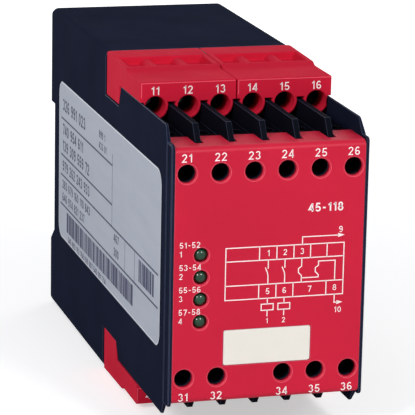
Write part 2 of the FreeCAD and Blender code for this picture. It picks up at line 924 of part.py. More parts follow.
def make_all_clamps():
    front_strip = carrier_level - c.carrier_height - c.contact_drop
    rear_strip = terminal_board_level - c.contact_drop
    for name, sign in (("upper", 1), ("lower", -1)):
        front_row = ALL_TERMINALS if sign > 0 else LOWER_FRONT_TERMINALS
        make_clamp_row("front_" + name, sign, c.front_cage_behind, front_screw_level,
                       front_row, front_strip)
        make_clamp_row("rear_" + name, sign, c.rear_cage_behind, rear_screw_level,
                       ALL_TERMINALS, rear_strip)


# ---------------------------------------------------------------- boards and components
def make_terminal_board():
    board = Piece("terminal_board")
    start = behind(c.terminal_board_behind)
    rise = terminal_board_level
    outline = box(-fitted_side, fitted_side, level(-rise), level(rise))
    board.pad("XZ_Plane", [outline], start, start + c.board_thickness)


def make_ribbon():
    """The flat cable between the display board and the terminal board."""
    ribbon = Piece("display_ribbon")
    start = behind(c.display_behind) + c.board_thickness
    half = c.ribbon_width / 2
    rise = c.ribbon_thickness / 2
    outline = box(-half, half, level(-rise), level(rise))
    ribbon.pad("XZ_Plane", [outline], start, behind(c.terminal_board_behind))


def make_side_board(label, sign):
    """A board that slides into the guide ribs, with a tongue between the red blocks."""
    board = Piece(label)
    tall = behind(c.tall_part_behind) + c.easy_gap
    high = c.height - c.shell_wall - c.fit_gap
    low = NIL + c.shell_wall + c.fit_gap
    neck = terminal_board_level
    outline = [
        (side_board_start, level(-neck)),
        (tall, level(-neck)),
        (tall, low),
        (side_board_end, low),
        (side_board_end, high),
        (tall, high),
        (tall, level(neck)),
        (side_board_start, level(neck)),
    ]
    if sign > 0:
        board.pad("YZ_Plane", [outline], side_board_back, side_board_face)
    else:
        board.pad("YZ_Plane", [outline], -side_board_face, -side_board_back)


PIN_COLUMNS = 6
relay_base = side_board_back - c.relay_standoff
relay_face = relay_base - c.relay_thickness


def make_transformer():
    """Shell-type core with its coil on the middle limb, standing on the power board."""
    left = -side_board_back
    end = side_board_end - c.transformer_inset
    start = end - c.transformer_length
    high = c.height - c.shell_wall - c.transformer_headroom
    low = high - c.transformer_height
    limb = c.transformer_limb
    centre = (high + low) / 2
    coil_end = relay_face - c.coil_relay_gap
    stack_start = left + c.coil_overhang
    stack_end = coil_end - c.coil_overhang
    core = Piece("transformer_core")
    windows = [
        box(start + limb, end - limb, low + limb, centre - limb),
        box(start + limb, end - limb, centre + limb, high - limb),
    ]
    core.pad("YZ_Plane", [box(start, end, low, high)] + windows, stack_start, stack_end)
    coil = Piece("transformer_coil")
    gap = c.fit_gap
    outer = box(start + limb + gap, end - limb - gap, low + limb + gap, high - limb - gap)
    bore = box(start + limb + gap, end - limb - gap, centre - limb - gap, centre + limb + gap)
    coil.pad("YZ_Plane", [outer], left, coil_end)
    coil.pocket("YZ_Plane", [bore], stack_start - gap, stack_end + gap)


def make_relay(label, sign):
    """A sealed forced-contact relay on the logic board, with its row of pins."""
    relay = Piece(label)
    start = behind(c.tall_part_behind + c.relay_inset)
    low = level(c.relay_level * sign) - c.relay_height / 2
    high = low + c.relay_height
    relay.pad("YZ_Plane", [box(start, start + c.relay_length, low, high)], relay_face, relay_base)
    relay.fillet(c.relay_standoff, lambda b: flat(b.XMin, b.XMax, relay_face))
    half = c.relay_pin / 2
    pin_pitch = (c.relay_length - c.relay_pin_inset * 2) / (PIN_COLUMNS - 1)
    pins = []
    for column in range(PIN_COLUMNS):
        y = start + c.relay_pin_inset + pin_pitch * column
        for z in (low + c.relay_pin_inset, high - c.relay_pin_inset):
            pins.append(box(y - half, y + half, z - half, z + half))
    relay.pad("YZ_Plane", pins, relay_base, side_board_back)


def make_capacitors():
    """Two cans standing on the power board."""
    cans = Piece("capacitors")
    left = -side_board_back
    z = level(-c.capacitor_level)
    top = left + c.capacitor_length
    first = behind(c.tall_part_behind + c.capacitor_inset)
    rings = [
        ring(first + c.capacitor_spacing * i, z, c.capacitor_diameter) for i in range(2)
    ]
    cans.pad("YZ_Plane", rings, left, top)
    cans.chamfer(c.capacitor_rim, lambda b: flat(b.XMin, b.XMax, top))


def make_fuse():
    """A glass fuse lying in two spring clips on the power board."""
    left = -side_board_back
    x = left + c.fuse_rise
    z = level(-c.fuse_level)
    end = side_board_end - c.fuse_inset
    start = end - c.fuse_length
    fuse = Piece("fuse")
    fuse.pad("XZ_Plane", [ring(x, z, c.fuse_diameter)], start, end)
    tube = ring(x, z, c.fuse_tube_diameter)
    beyond = ring(x, z, c.fuse_diameter + c.root)
    glass_start = start + c.fuse_cap
    glass_end = end - c.fuse_cap
    fuse.pocket("XZ_Plane", [beyond, tube], glass_start, glass_end)
    clips = Piece("fuse_clips")
    half = c.fuse_diameter / 2 + c.fit_gap
    wall = half + c.fuse_clip
    width = c.fuse_cap - c.fuse_clip_inset * 2
    for y in (start + c.fuse_clip_inset, glass_end + c.fuse_clip_inset):
        clips.pad("XZ_Plane", [box(left, x + half, z - wall, z + wall)], y, y + width)
        gap = box(x - half, x + half, z - half, z + half)
        clips.pocket("XZ_Plane", [gap], y, y + width)


# ---------------------------------------------------------------- rail latch and spring
def make_latch():
    latch = Piece("rail_latch")
    foot = NIL + c.latch_foot_rise
    nose = rail_bottom + c.latch_bite
    shoulder = rail_bottom - c.fit_gap
    half = c.latch_width / 2
    bevel = c.latch_bite + c.fit_gap
    rib = [
        (latch_front, foot),
        (back - c.fit_gap, foot),
        (back - c.fit_gap, shoulder - bevel),
        (back - c.fit_gap - c.latch_slope, nose),
        (latch_front, nose),
    ]
    latch.pad("YZ_Plane", [rib], -half, half)
    flange = box(latch_front, latch_flange_back, foot, shoulder - bevel)
    latch.pad("YZ_Plane", [flange], -half - c.latch_flange, half + c.latch_flange)
    half_tongue = c.tongue_width / 2
    tongue = box(well_front + c.easy_gap, latch_front, tongue_bottom, tongue_top)
    latch.pad("YZ_Plane", [tongue], -half_tongue, half_tongue)
    slot_low = foot + c.latch_slot_rise
    slot_half = c.latch_slot_width / 2
    slot = box(-slot_half, slot_half, slot_low, slot_low + c.latch_slot_height)
    latch.pocket("XZ_Plane", [slot], latch_front, back)


def make_spring():
    """Round-wire compression spring between the well's floor and the latch's tongue."""
    radius = c.spring_mean_diameter.value / 2
    wire = c.spring_wire.value
    rise = (tongue_bottom - well_floor).value - wire
    middle_y = (well_front + latch_front).value / 2
    base = FreeCAD.Vector(0, middle_y, well_floor.value + wire / 2)
    path = Part.makeHelix(rise / c.spring_turns.value, rise, radius)
    start = Part.Circle(FreeCAD.Vector(radius, 0, 0), FreeCAD.Vector(0, 1, 0), wire / 2)
    section = Part.Wire([start.toShape()])
    coil = Part.Wire(path.Edges).makePipeShell([section], True, True)
    spring = doc.addObject("Part::Feature", "latch_spring")
    spring.Label = "latch_spring"
    spring.Shape = coil
    spring.Placement = FreeCAD.Placement(base, FreeCAD.Rotation())
    Piece.all.append(spring)


# ---------------------------------------------------------------- the whole unit
make_case()
make_label()
make_cover()
make_marker_tag()
make_leds()
make_display_board()
make_front_carrier("front_carrier_upper", 1, ALL_TERMINALS)
make_front_carrier("front_carrier_lower", -1, LOWER_FRONT_TERMINALS)
make_rear_block()
make_all_clamps()
make_terminal_board()
make_ribbon()
make_side_board("power_board", -1)
make_side_board("logic_board", 1)
make_transformer()
make_relay("safety_relay_1", 1)
make_relay("safety_relay_2", -1)
make_capacitors()
make_fuse()
make_latch()
make_spring()
doc.recompute()

for item in doc.Objects:
    if "Invalid" in item.State or "Error" in item.State:
        raise RuntimeError("%s did not compute: %s" % (item.Name, item.State))
    if item.TypeId == "PartDesign::Pocket" and item.BaseFeature.Shape.Volume <= item.Shape.Volume:
        raise RuntimeError("%s cuts nothing" % item.Name)
for piece in Piece.all:
    if piece.Shape.isNull() or not piece.Shape.isValid():
        raise RuntimeError("%s has no valid shape" % piece.Label)
for piece in Piece.all:
    piece.Shape.exportStep("parts/%s.step" % piece.Label)
    print("%-26s %2d solids %9.1f mm3" % (piece.Label, len(piece.Shape.Solids), piece.Shape.Volume))
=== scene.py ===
import math
import random

import bmesh
import bpy
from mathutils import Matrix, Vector


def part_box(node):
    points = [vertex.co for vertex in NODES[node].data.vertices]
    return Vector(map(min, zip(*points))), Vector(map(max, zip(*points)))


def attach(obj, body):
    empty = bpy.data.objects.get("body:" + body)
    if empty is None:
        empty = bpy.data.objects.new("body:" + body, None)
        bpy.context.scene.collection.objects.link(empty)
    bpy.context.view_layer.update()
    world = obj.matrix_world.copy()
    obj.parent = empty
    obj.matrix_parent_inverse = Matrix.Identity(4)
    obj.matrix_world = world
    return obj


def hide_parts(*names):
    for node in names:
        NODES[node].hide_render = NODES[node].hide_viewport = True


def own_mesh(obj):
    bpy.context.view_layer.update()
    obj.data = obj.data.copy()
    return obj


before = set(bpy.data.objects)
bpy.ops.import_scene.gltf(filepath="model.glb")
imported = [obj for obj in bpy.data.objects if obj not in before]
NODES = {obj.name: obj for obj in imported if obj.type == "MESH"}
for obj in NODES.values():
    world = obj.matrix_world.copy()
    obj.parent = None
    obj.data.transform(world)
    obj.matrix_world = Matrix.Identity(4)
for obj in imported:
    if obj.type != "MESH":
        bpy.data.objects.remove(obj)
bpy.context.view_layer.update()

# The frame is in metres. Sizes of print and edges are written in millimetres.
MM = 0.001
RIGHT, FORTH, BACK, UP = (1, 0, 0), (0, -1, 0), (0, 1, 0), (0, 0, 1)

# The relay's own planes: the cover's face, the rear blocks' face and the middle of its height.
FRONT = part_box("front_cover")[0].y
BLOCK_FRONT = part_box("rear_block_upper_left")[0].y
MID = (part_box("housing_case")[0].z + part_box("housing_case")[1].z) / 2

# Terminals: their pitch, their places across, and the bores that their screws sit in, with the
# depths behind the face over which painted shade darkens each bore, and that shade's colour.
PITCH = 7.5
POSITIONS = [PITCH * (i - 2.5) for i in range(6)]
BORE_RADIUS = 4.7 * MM / 2
BORE_FACE = {"front": FRONT, "rear": BLOCK_FRONT}
BORE_FADE = {"front": (0.9 * MM, 1.5 * MM), "rear": (3.0 * MM, 6.5 * MM)}
BORE_PAINTED_SHADE = (10, 8, 12)

BLOCKS = [f"rear_block_{side}_{end}" for side in ("upper", "lower") for end in ("left", "right")]
LEDS = [f"led_{i}" for i in range(1, 5)]


def rows_of(kind):
    return [f"{kind}_{row}_{side}" for row in ("front", "rear") for side in ("upper", "lower")]


def add_object(name, data):
    thing = bpy.data.objects.new(name, data)
    bpy.context.scene.collection.objects.link(thing)
    return thing


# ---------------------------------------------------------------- materials
def srgb(r, g, b):
    """A colour given in 0-255 screen values, as Blender's linear colour."""

    def channel(value):
        value /= 255
        return value / 12.92 if value <= 0.04045 else ((value + 0.055) / 1.055) ** 2.4

    return (channel(r), channel(g), channel(b), 1)


class Material:
    """A principled material whose nodes all read the object's own coordinates."""

    def __init__(self, name, color, rough, **sockets):
        self.data = bpy.data.materials.new(name)
        self.data.use_nodes = True
        self.tree = self.data.node_tree
        self.shader = self.tree.nodes["Principled BSDF"]
        self.shader.inputs["Base Color"].default_value = color
        self.shader.inputs["Roughness"].default_value = rough
        for socket, value in sockets.items():
            self.shader.inputs[socket.replace("_", " ")].default_value = value
        self.place = self.node("ShaderNodeTexCoord").outputs["Object"]
        self.color = color
        self.rough = rough
        self.height = None

    def node(self, kind, **settings):
        node = self.tree.nodes.new(kind)
        for key, value in settings.items():
            setattr(node, key, value)
        return node

    def link(self, output, target):
        self.tree.links.new(output, target)

    def math(self, operation, first, second=0.0):
        """One step of arithmetic on numbers and sockets."""
        node = self.node("ShaderNodeMath", operation=operation)
        for socket, value in zip(node.inputs, (first, second)):
            if isinstance(value, (int, float)):
                socket.default_value = value
            else:
                self.link(value, socket)
        return node.outputs["Value"]

    def noise(self, scale, detail=2.0, stretch=None):
        """Noise of that many cycles a metre, stretched along an axis if asked."""
        noise = self.node("ShaderNodeTexNoise")
        noise.inputs["Scale"].default_value = scale
        noise.inputs["Detail"].default_value = detail
        place = self.place
        if stretch:
            mapping = self.node("ShaderNodeMapping")
            mapping.inputs["Scale"].default_value = stretch
            self.link(place, mapping.inputs["Vector"])
            place = mapping.outputs["Vector"]
        self.link(place, noise.inputs["Vector"])
        return noise.outputs["Fac"]

    def spread(self, value, low, high, from_low=0.3, from_high=0.7):
        """The value, mapped to low-high from the range that noise mostly has."""
        spread = self.node("ShaderNodeMapRange")
        self.link(value, spread.inputs["Value"])
        for name, number in (
            ("From Min", from_low),
            ("From Max", from_high),
            ("To Min", low),
            ("To Max", high),
        ):
            spread.inputs[name].default_value = number
        return spread.outputs["Result"]

    def mix(self, share, first, second):
        """Sends the mix of two colours or sockets to the base colour."""
        mix = self.node("ShaderNodeMix", data_type="RGBA", blend_type="MIX")
        self.link(share, mix.inputs["Factor"])
        for name, value in (("A", first), ("B", second)):
            if isinstance(value, bpy.types.NodeSocket):
                self.link(value, mix.inputs[name])
            else:
                mix.inputs[name].default_value = value
        self.link(mix.outputs["Result"], self.shader.inputs["Base Color"])

    def mottle(self, scale, amount, stretch=None):
        """Slight light and dark patches in the colour."""
        patches = self.spread(self.noise(scale, detail=3, stretch=stretch), 0, 1)
        dark = [value * (1 - amount) for value in self.color[:3]] + [1]
        light = [min(value * (1 + amount), 1) for value in self.color[:3]] + [1]
        self.mix(patches, dark, light)
        return self

    def smudge(self, scale, amount):
        """Patches that shine a little more or less."""
        patches = self.spread(self.noise(scale), self.rough - amount, self.rough + amount)
        self.link(patches, self.shader.inputs["Roughness"])
        return self

    def grain(self, scale, depth, stretch=None):
        """Relief of that depth in metres; a second call adds to the first."""
        bump = self.node("ShaderNodeBump")
        bump.inputs["Distance"].default_value = depth
        self.link(self.noise(scale, stretch=stretch), bump.inputs["Height"])
        if self.height:
            self.link(self.height, bump.inputs["Normal"])
        self.height = bump.outputs["Normal"]
        self.link(self.height, self.shader.inputs["Normal"])
        return self

    def bore(self, row):
        """Paints shade into the bores of a row's terminals, darker with their depth behind its
        face.
        """
        place = self.node("ShaderNodeSeparateXYZ")
        self.link(self.place, place.inputs["Vector"])
        pitch = PITCH * MM
        cell = self.math("FRACT", self.math("MULTIPLY", place.outputs["X"], 1 / pitch))
        across = self.math("MULTIPLY", self.math("SUBTRACT", cell, 0.5), pitch)
        inside = None
        for side in ("upper", "lower"):
            low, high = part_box(f"terminal_screws_{row}_{side}")
            up = self.math("SUBTRACT", place.outputs["Z"], (low.z + high.z) / 2)
            squares = [self.math("MULTIPLY", value, value) for value in (across, up)]
            hit = self.math("LESS_THAN", self.math("ADD", *squares), BORE_RADIUS**2)
            inside = self.math("MAXIMUM", inside, hit) if inside else hit
        start, end = (BORE_FACE[row] + depth for depth in BORE_FADE[row])
        depth = self.spread(place.outputs["Y"], 0, 1, start, end)
        paint = self.shader.inputs["Base Color"].links[0].from_socket
        # Painted shade: inside the bores the colour goes towards near black with depth.
        self.mix(self.math("MULTIPLY", inside, depth), paint, srgb(*BORE_PAINTED_SHADE))
        return self

    def dress(self, *names):
        for name in names:
            slots = NODES[name].data.materials
            slots.clear()
            slots.append(self.data)


def make_housing_materials():
    case = Material("case_black", srgb(26, 31, 49), 0.75, Specular_IOR_Level=0.003)
    case.mottle(60, 0.10).smudge(90, 0.05).grain(2600, 0.00003).grain(240, 0.00006)
    case.dress("housing_case")
    carrier = Material("carrier_black", srgb(15, 17, 25), 0.6, Specular_IOR_Level=0.006)
    carrier.mottle(80, 0.12).smudge(120, 0.06).grain(2200, 0.00003)
    carrier.dress("front_carrier_upper", "front_carrier_lower")
    cover = Material("cover_red", srgb(202, 30, 59), 0.4, Specular_IOR_Level=0.15)
    cover.mottle(45, 0.05).smudge(80, 0.04).grain(3000, 0.00002).grain(180, 0.00005)
    # Painted shade darkens the cover's bores with their depth.
    cover.bore("front").dress("front_cover")
    block = Material("block_red", srgb(206, 32, 58), 0.5, Specular_IOR_Level=0.008)
    block.mottle(55, 0.06).smudge(90, 0.05).grain(2600, 0.00002).grain(160, 0.00008)
    # Painted shade darkens the blocks' bores with their depth.
    block.bore("rear").dress(*BLOCKS)
    tag = Material("tag_white", srgb(236, 232, 222), 0.55)
    tag.mottle(90, 0.02).grain(1800, 0.00002)
    tag.dress("marker_tag")
    label = Material("label_silver", srgb(176, 182, 194), 0.55, Specular_IOR_Level=0.1)
    label.mottle(420, 0.03, (1, 0.15, 1)).smudge(150, 0.05).grain(900, 0.000015, (1, 0.1, 1))
    label.dress("rating_label")
    led = Material("led_green", srgb(4, 62, 40), 0.03, Specular_IOR_Level=0.55)
    led.mottle(400, 0.35).smudge(300, 0.03)
    led.dress(*LEDS)
    latch = Material("latch_black", srgb(36, 38, 44), 0.42)
    latch.mottle(100, 0.1).smudge(150, 0.06).grain(2000, 0.00004)
    latch.dress("rail_latch")


def make_inner_materials():
    board = Material("board_green", srgb(20, 78, 48), 0.35)
    board.mottle(300, 0.12).grain(700, 0.00003)
    board.dress("display_board", "terminal_board", "power_board", "logic_board")
    ribbon = Material("ribbon_grey", srgb(150, 152, 156), 0.5)
    ribbon.mottle(100, 0.05).grain(790, 0.0002, (1, 0.01, 0.01))
    ribbon.dress("display_ribbon")
    core = Material("core_steel", srgb(70, 70, 74), 0.4, Metallic=0.8)
    core.mottle(200, 0.1).grain(2000, 0.00004, (1, 0.02, 0.02))
    core.dress("transformer_core")
    coil = Material("coil_amber", srgb(190, 140, 50), 0.35)
    coil.mottle(120, 0.08).grain(900, 0.00004, (1, 0.05, 0.05))
    coil.dress("transformer_coil")
    relay = Material("relay_grey", srgb(86, 90, 96), 0.45)
    relay.mottle(90, 0.06).grain(1500, 0.00003)
    relay.dress("safety_relay_1", "safety_relay_2")
    can = Material("can_aluminium", srgb(30, 44, 78), 0.3)
    can.mottle(150, 0.08).grain(900, 0.00002)
    can.dress("capacitors")
    glass = Material("fuse_glass", srgb(214, 224, 226), 0.08, Transmission_Weight=0.6)
    glass.mottle(200, 0.05).smudge(200, 0.03)
    glass.dress("fuse")
    brass = Material("brass", srgb(198, 168, 104), 0.32, Metallic=1.0)
    brass.mottle(220, 0.08).smudge(260, 0.08).grain(1800, 0.00002, (0.1, 1, 1))
    brass.dress("fuse_clips", *rows_of("contact_strips"))
    steel = Material("zinc_steel", srgb(176, 178, 182), 0.3, Metallic=1.0)
    steel.mottle(300, 0.1).smudge(400, 0.1).grain(1500, 0.00002)
    steel.dress("latch_spring", *rows_of("clamp_cages"))
    screw = Material("screw_steel", srgb(128, 130, 134), 0.45, Metallic=1.0)
    screw.mottle(500, 0.12).smudge(600, 0.1).grain(1800, 0.00002)
    screw.dress(*rows_of("terminal_screws"))


def make_edge_materials():
    """Paler colours for the rounds along moulded edges of the red, black and pale parts: painted
    highlights. The red one also has the painted shade in the cover's bores.
    """
    red = Material("red_painted_highlight", srgb(236, 98, 116), 0.4, Specular_IOR_Level=0.1)
    red.mottle(300, 0.06).grain(2000, 0.00002).bore("front")
    black = Material("black_painted_highlight", srgb(52, 58, 80), 0.5, Specular_IOR_Level=0.1)
    black.mottle(300, 0.1).grain(2000, 0.00002)
    pale = Material("pale_painted_highlight", srgb(232, 235, 240), 0.4, Specular_IOR_Level=0.3)
    pale.mottle(300, 0.03).grain(2000, 0.00002)
    return red.data, black.data, pale.data


def ink_material(name, color, rough):
    ink = Material(name, color, rough)
    ink.mottle(500, 0.03).smudge(300, 0.04).grain(2500, 0.00001)
    return ink.data


# ---------------------------------------------------------------- moulded edges
SAME_POINT = 0.002
SAME_PLANE = 0.3
SHARP_EDGE = 35
FACE_WEIGHT = 50


def soften(name, width, painted_highlight=None):
    """Rounds a node's sharp edges, and gives the rounds the painted highlight material if there
    is one.
    """
    node = NODES[name]
    mesh = node.data
    if "custom_normal" in mesh.attributes:
        mesh.attributes.remove(mesh.attributes["custom_normal"])
    weld = node.modifiers.new("weld", "WELD")
    weld.merge_threshold = SAME_POINT * MM
    plane = node.modifiers.new("plane", "DECIMATE")
    plane.decimate_type = "DISSOLVE"
    plane.angle_limit = math.radians(SAME_PLANE)
    bevel = node.modifiers.new("bevel", "BEVEL")
    bevel.width = width * MM
    bevel.segments = 2
    bevel.limit_method = "ANGLE"
    bevel.angle_limit = math.radians(SHARP_EDGE)
    bevel.use_clamp_overlap = False
    if painted_highlight:
        mesh.materials.append(painted_highlight)
        bevel.material = 1
    level = node.modifiers.new("level", "WEIGHTED_NORMAL")
    level.mode = "FACE_AREA"
    level.weight = FACE_WEIGHT


def soften_all(red, black, pale):
    # Each entry: the parts, the width of their rounds, and the painted highlight material for the
    # rounds, if any.
    for names, width, painted_highlight in (
        (["front_cover"], 0.055, red),
        (BLOCKS, 0.25, None),
        (["front_carrier_upper", "front_carrier_lower"], 0.06, black),
        (["housing_case", "rail_latch"], 0.1, black),
        (["marker_tag"], 0.08, pale),
        (["rating_label"], 0.05, pale),
    ):
        for name in names:
            soften(name, width, painted_highlight)


# ---------------------------------------------------------------- latch spring
def seat_spring():
    """The latch's spring as a piece of its own, attached to the housing."""
    spring = add_object("coil_spring", NODES["latch_spring"].data.copy())
    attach(spring, "housing")
    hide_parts("latch_spring")
    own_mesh(spring)


# ---------------------------------------------------------------- flat pieces
def arc(u, v, wide, tall, start, end, steps=14):
    """Points along part of an ellipse, its angles in degrees from the right, anticlockwise."""
    turns = [math.radians(start + (end - start) * i / steps) for i in range(steps + 1)]
    return [(u + wide * math.cos(turn), v + tall * math.sin(turn)) for turn in turns]


# Plain figures, one unit tall, each as its width and the pen's strokes.
FIGURES = {
    "0": (0.58, [arc(0.29, 0.5, 0.21, 0.43, 90, 450, 24)]),
    "1": (0.40, [[(0.07, 0.74), (0.20, 0.79), (0.27, 0.93)], [(0.29, 1.0), (0.29, 0.0)]]),
    "2": (0.57, [arc(0.28, 0.71, 0.20, 0.22, 175, -38) + [(0.09, 0.07), (0.52, 0.07)]]),
    "3": (0.57, [
        arc(0.27, 0.72, 0.18, 0.21, 160, -85),
        arc(0.27, 0.29, 0.21, 0.22, 88, -160),
    ]),
    "4": (0.59, [[(0.42, 0.0), (0.42, 1.0)], [(0.38, 0.93), (0.07, 0.27), (0.56, 0.27)]]),
    "5": (0.57, [
        [(0.49, 0.93), (0.15, 0.93), (0.10, 0.48)] + arc(0.28, 0.31, 0.21, 0.24, 130, -155),
    ]),
    "6": (0.57, [
        arc(0.29, 0.5, 0.21, 0.43, 45, 190),
        arc(0.29, 0.29, 0.20, 0.22, 180, -180, 20),
    ]),
    "7": (0.56, [[(0.05, 0.93), (0.50, 0.93), (0.22, 0.0)]]),
    "8": (0.57, [
        arc(0.28, 0.73, 0.17, 0.20, 90, 450, 20),
        arc(0.28, 0.28, 0.21, 0.22, 90, 450, 20),
    ]),
    "9": (0.57, [
        arc(0.28, 0.5, 0.21, 0.43, 225, 370),
        arc(0.28, 0.71, 0.20, 0.22, 0, 360, 20),
    ]),
    "-": (0.45, [[(0.08, 0.42), (0.37, 0.42)]]),
    " ": (0.35, []),
}
FIGURE_GAP = 0.13
FIGURE_WEIGHT = 0.128
FIGURE_STRETCH = 1.16
SAME_PLACE = 1e-6
SHARPEST_MITRE = 0.4


class Flat:
    """A flat piece of fields and strokes, in millimetres along a plane, joined in one mesh.

    across and up are the plane's directions. The piece stands half before and half behind it,
    by the depth given in millimetres.
    """

    def __init__(self, name, origin, across, up, material, depth=0.02):
        self.name = name
        self.origin = Vector(origin)
        self.across = Vector(across)
        self.up = Vector(up)
        self.out = self.across.cross(self.up)
        self.material = material
        self.depth = depth * MM
        self.mesh = bmesh.new()

    def corner(self, u, v, rise):
        place = self.origin + self.across * u * MM + self.up * v * MM + self.out * rise
        return self.mesh.verts.new(place)

    def field(self, corners):
        """A filled shape with its corners going round anticlockwise."""
        low = [self.corner(u, v, -self.depth) for u, v in corners]
        high = [self.corner(u, v, self.depth) for u, v in corners]
        self.mesh.faces.new(high)
        self.mesh.faces.new(low[::-1])
        for i in range(len(corners)):
            j = (i + 1) % len(corners)
            self.mesh.faces.new((low[i], low[j], high[j], high[i]))

    def bar(self, low_u, high_u, low_v, high_v):
        self.field([(low_u, low_v), (high_u, low_v), (high_u, high_v), (low_u, high_v)])

    def stroke(self, width, *points):
        """A line of that width with mitred bends; it closes when it ends where it began."""
        points = [Vector(point) for point in points]
        closed = (points[0] - points[-1]).length < SAME_PLACE
        if closed:
            points.pop()
        count = len(points)
        sides = []
        for i, point in enumerate(points):
            before = points[i - 1] if i or closed else None
            after = points[(i + 1) % count] if i < count - 1 or closed else None
            ways = [
                (end - start).normalized()
                for start, end in ((before, point), (point, after))
                if start and end
            ]
            normals = [Vector((-way.y, way.x)) for way in ways]
            across = sum(normals, Vector((0, 0))).normalized()
            reach = width / 2 / max(across.dot(normals[0]), SHARPEST_MITRE)
            sides.append((point + across * reach, point - across * reach))
        for i in range(count if closed else count - 1):
            (left, right), (next_left, next_right) = sides[i], sides[(i + 1) % count]
            self.field([right, next_right, next_left, left])

    def frame(self, width, low_u, high_u, low_v, high_v):
        foot, head = [(low_u, low_v), (high_u, low_v)], [(high_u, high_v), (low_u, high_v)]
        self.stroke(width, *foot, *head, foot[0])

    def number(self, text, u, v, cap, weight=FIGURE_WEIGHT, align=0.5, wide=FIGURE_STRETCH):
        """A number cap millimetres tall at u, v, with that share of its length left of u."""
        steps = [FIGURES[figure][0] for figure in text]
        start = -align * (sum(steps) + FIGURE_GAP * (len(text) - 1))
        for figure, step in zip(text, steps):
            for pen in FIGURES[figure][1]:
                line = [(u + (start + a) * cap * wide, v + (b - 0.5) * cap) for a, b in pen]
                self.stroke(weight * cap, *line)
            start += step + FIGURE_GAP

    def lay(self):
        mesh = bpy.data.meshes.new(self.name)
        self.mesh.to_mesh(mesh)
        self.mesh.free()
        mesh.materials.append(self.material)
        piece = add_object(self.name, mesh)
        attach(piece, "housing")


# ---------------------------------------------------------------- print on the front
LINE = 0.22
# Rows of terminal numbers: the first number, the row's level, the figures' height, and the
# places across that have none. They sit a little left of their terminals.
NUMBER_SHIFT = -0.1
FRONT_ROWS = ((21, 26.4, 1.85, ()), (31, -27.1, 1.8, (2,)))
REAR_ROWS = {"upper": (11, 35.4, 1.85), "lower": (41, -35.4, 1.85)}
# The lamps' levels, and above each lamp's number a pair of numbers.
LAMP_TOP = 4.75
LAMP_PITCH = 5.0
LAMP_PRINT = -20.2
LAMP_CAP = 1.3
LAMP_NUMBER_RISE = 0.5
LAMP_PAIR_RISE = 2.45
LAMP_FIRST_PAIR = 51
# The relay's width and depth, printed on the cover.
SIZE_TEXT = "45-118"
SIZE_PLACE = (16.6, 14.2)
SIZE_CAP = 1.9
SIZE_WEIGHT = 0.17
# The circuit diagram's sides, its two rows of cells, and the edges between cells, one of which
# only the upper row has.
DIAGRAM = (-9.8, 17.05)
UPPER_ROW = (2.95, 6.0)
LOWER_ROW = (-5.7, -2.5)
CELL_EDGES = (-2.2, 1.73, 5.6, 9.4, 13.17)
UPPER_ONLY = 9.4
CELL_CAP = 1.35
UPPER_FIGURES = 4.5
LOWER_FIGURES = -4.1
CELL_NUMBERS = (("3", 7.5, UPPER_FIGURES), ("7", 9.4, LOWER_FIGURES), ("8", 15.15, LOWER_FIGURES))
# Each contact's place across and its numbers: its upper cell's, its lower cell's, its coil's.
CONTACTS = ((-0.17, "1", "5", "1"), (3.63, "2", "6", "2"))
CONTACT_HEAD = 0.95
CONTACT_ARM = ((-0.65, 1.26), (-0.15, 0.1), (0, -0.6))
COIL_HALF = 1.36
COIL_HEAD, COIL_FOOT = -7.0, -8.4
COIL_END = -9.8
COIL_FIGURES = -10.8
COIL_CAP = 1.2
# The feedback loop's upright lines, the levels of the lines that join them, and how two of the
# upright lines dip.
LOOP_LEFT, LOOP_RIGHT, LOOP_END = 7.45, 11.3, 15.1
LOOP_FOOT, LOOP_HEAD = -1.55, 2.05
LOOP_DIP = ((0, 1.1), (-0.7, 0.6), (-0.7, -0.3), (0, -1.0))
# The two lines out of the diagram: where each leaves it, the level that it turns to, its end, its
# arrow's root, and its number with place and height.
OUT_LINES = (
    ((7.48, UPPER_ROW[1]), 7.7, 15.8, 15.6, "9", (16.2, 9.0), 1.4),
    ((15.15, LOWER_ROW[0]), -7.55, 15.9, 15.7, "10", (16.0, -9.2), 1.3),
)
ARROW_TIP = 17.1
ARROW_HALF = 0.45


def print_terminals(art):
    for first, v, cap, bare in FRONT_ROWS:
        for i, u in enumerate(POSITIONS):
            if i not in bare:
                art.number(str(first + i), u + NUMBER_SHIFT, v, cap)
    for i in range(len(LEDS)):
        level = LAMP_TOP - LAMP_PITCH * i
        odd = LAMP_FIRST_PAIR + 2 * i
        art.number(f"{odd}-{odd + 1}", LAMP_PRINT, level + LAMP_PAIR_RISE, LAMP_CAP, align=0)
        art.number(str(i + 1), LAMP_PRINT, level + LAMP_NUMBER_RISE, LAMP_CAP, align=0)
    art.number(SIZE_TEXT, *SIZE_PLACE, SIZE_CAP, SIZE_WEIGHT, align=1)


def print_cells(art):
    art.frame(LINE, *DIAGRAM, LOWER_ROW[0], UPPER_ROW[1])
    for v in (UPPER_ROW[0], LOWER_ROW[1]):
        art.stroke(LINE, (DIAGRAM[0], v), (DIAGRAM[1], v))
    for u in CELL_EDGES:
        for row in (UPPER_ROW, LOWER_ROW)[: 1 if u == UPPER_ONLY else 2]:
            art.stroke(LINE, (u, row[0]), (u, row[1]))
    for text, u, v in CELL_NUMBERS:
        art.number(text, u, v, CELL_CAP)


def print_contacts(art):
    """The two contacts, each with its cells' numbers and its coil below."""
    for u, top, foot, coil in CONTACTS:
        arm = [(u + shift, v) for shift, v in CONTACT_ARM]
        art.stroke(LINE, (u, UPPER_ROW[0]), (u, CONTACT_HEAD))
        art.stroke(LINE, *arm, (u, LOWER_ROW[1]))
        art.number(top, u, UPPER_FIGURES, CELL_CAP)
        art.number(foot, u, LOWER_FIGURES, CELL_CAP)
        art.stroke(LINE, (u, LOWER_ROW[0]), (u, COIL_HEAD))
        art.frame(LINE, u - COIL_HALF, u + COIL_HALF, COIL_FOOT, COIL_HEAD)
        art.stroke(LINE, (u, COIL_FOOT), (u, COIL_END))
        art.number(coil, u, COIL_FIGURES, COIL_CAP)


